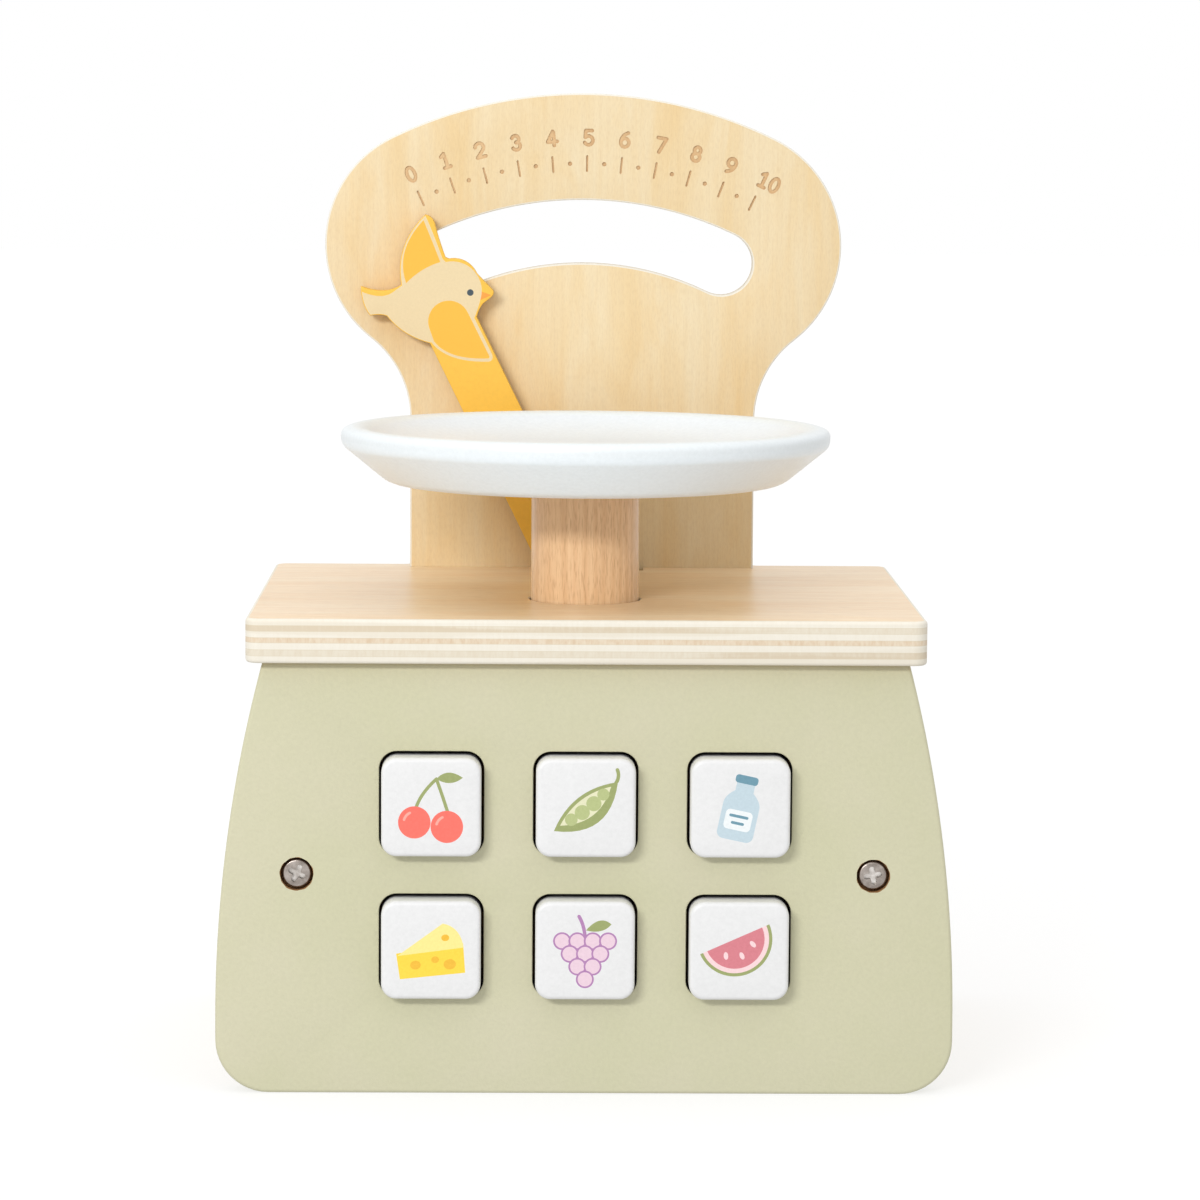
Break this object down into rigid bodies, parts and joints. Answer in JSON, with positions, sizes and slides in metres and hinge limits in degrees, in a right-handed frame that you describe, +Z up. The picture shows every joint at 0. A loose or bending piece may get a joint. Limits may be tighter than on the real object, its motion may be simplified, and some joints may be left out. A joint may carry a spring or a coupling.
{
  "type": "toy shop scale",
  "caption": "Wooden toy shop scale: pressing the dish swings a bird pointer across a numbered dial, above a bell-shaped panel of spring-back buttons.",
  "frame": {"origin": "on the floor, under the middle of the object's box", "axes": "+X to the right seen from the front, +Y away from the front, +Z up"},
  "size_m": [0.1662, 0.134, 0.2248],
  "materials": {
    "green_paint": "satin sage green paint on fibreboard",
    "dial_birch": "clear matt lacquer on pale plywood",
    "body_ply": "clear matt lacquer on pale plywood",
    "plate_ply": "clear matt lacquer, plies showing at the edge",
    "fibreboard": "raw fibreboard",
    "white_paint": "satin white paint",
    "pillar_beech": "clear matt lacquer on turned hardwood",
    "dowel_beech": "raw hardwood dowel",
    "yellow_paint": "satin yellow paint with a printed face",
    "steel": "zinc plated",
    "spring_steel": "bare wire"
  },
  "bodies": {
    "housing": {"front_panel": "green_paint", "back_board": "dial_birch", "left_side": "body_ply", "right_side": "body_ply", "top_plate": "plate_ply", "base_board": "body_ply", "button_backer": "fibreboard", "pivot_screw": "steel", "pivot_washer": "steel", "guide_peg": "dowel_beech", "dish_spring": "spring_steel", "front_screws": "steel", "rear_screws": "steel", "base_screws": "steel", "front_dowels": "dowel_beech", "rear_dowels": "dowel_beech", "plate_dowels": "dowel_beech", "button_spring_1": "spring_steel", "button_spring_2": "spring_steel", "button_spring_3": "spring_steel", "button_spring_4": "spring_steel", "button_spring_5": "spring_steel", "button_spring_6": "spring_steel"},
    "dish_lift": {"dish": "white_paint", "pillar": "pillar_beech", "drive_arm": "fibreboard", "arm_screw": "steel", "drive_pin": "steel"},
    "pointer": {"pointer": "yellow_paint"},
    "button_upper_left": {"button_cap_1": "white_paint", "button_flange_1": "fibreboard"},
    "button_upper_middle": {"button_cap_2": "white_paint", "button_flange_2": "fibreboard"},
    "button_upper_right": {"button_cap_3": "white_paint", "button_flange_3": "fibreboard"},
    "button_lower_left": {"button_cap_4": "white_paint", "button_flange_4": "fibreboard"},
    "button_lower_middle": {"button_cap_5": "white_paint", "button_flange_5": "fibreboard"},
    "button_lower_right": {"button_cap_6": "white_paint", "button_flange_6": "fibreboard"}
  },
  "joints": [
    {"name": "dish_press", "type": "slide", "parent": "housing", "child": "dish_lift", "axis": [0, 0, -1], "range_m": [0, 0.015], "stiffness_N_per_m": 200, "springref_m": -0.012, "deforming": ["dish_spring"]},
    {"name": "pointer_swing", "type": "hinge", "parent": "housing", "child": "pointer", "pos_m": [0, 0.0565, 0.094], "axis": [0, 1, 0], "range_deg": [0, 42.57]},
    {"name": "press_upper_left", "type": "slide", "parent": "housing", "child": "button_upper_left", "axis": [0, 1, 0], "range_m": [0, 0.004], "stiffness_N_per_m": 150, "springref_m": -0.004, "deforming": ["button_spring_1"]},
    {"name": "press_upper_middle", "type": "slide", "parent": "housing", "child": "button_upper_middle", "axis": [0, 1, 0], "range_m": [0, 0.004], "stiffness_N_per_m": 150, "springref_m": -0.004, "deforming": ["button_spring_2"]},
    {"name": "press_upper_right", "type": "slide", "parent": "housing", "child": "button_upper_right", "axis": [0, 1, 0], "range_m": [0, 0.004], "stiffness_N_per_m": 150, "springref_m": -0.004, "deforming": ["button_spring_3"]},
    {"name": "press_lower_left", "type": "slide", "parent": "housing", "child": "button_lower_left", "axis": [0, 1, 0], "range_m": [0, 0.004], "stiffness_N_per_m": 150, "springref_m": -0.004, "deforming": ["button_spring_4"]},
    {"name": "press_lower_middle", "type": "slide", "parent": "housing", "child": "button_lower_middle", "axis": [0, 1, 0], "range_m": [0, 0.004], "stiffness_N_per_m": 150, "springref_m": -0.004, "deforming": ["button_spring_5"]},
    {"name": "press_lower_right", "type": "slide", "parent": "housing", "child": "button_lower_right", "axis": [0, 1, 0], "range_m": [0, 0.004], "stiffness_N_per_m": 150, "springref_m": -0.004, "deforming": ["button_spring_6"]}
  ],
  "couplings": [
    {"joint": "pointer_swing", "follows": "dish_press", "rad_per_m": 49.528}
  ]
}
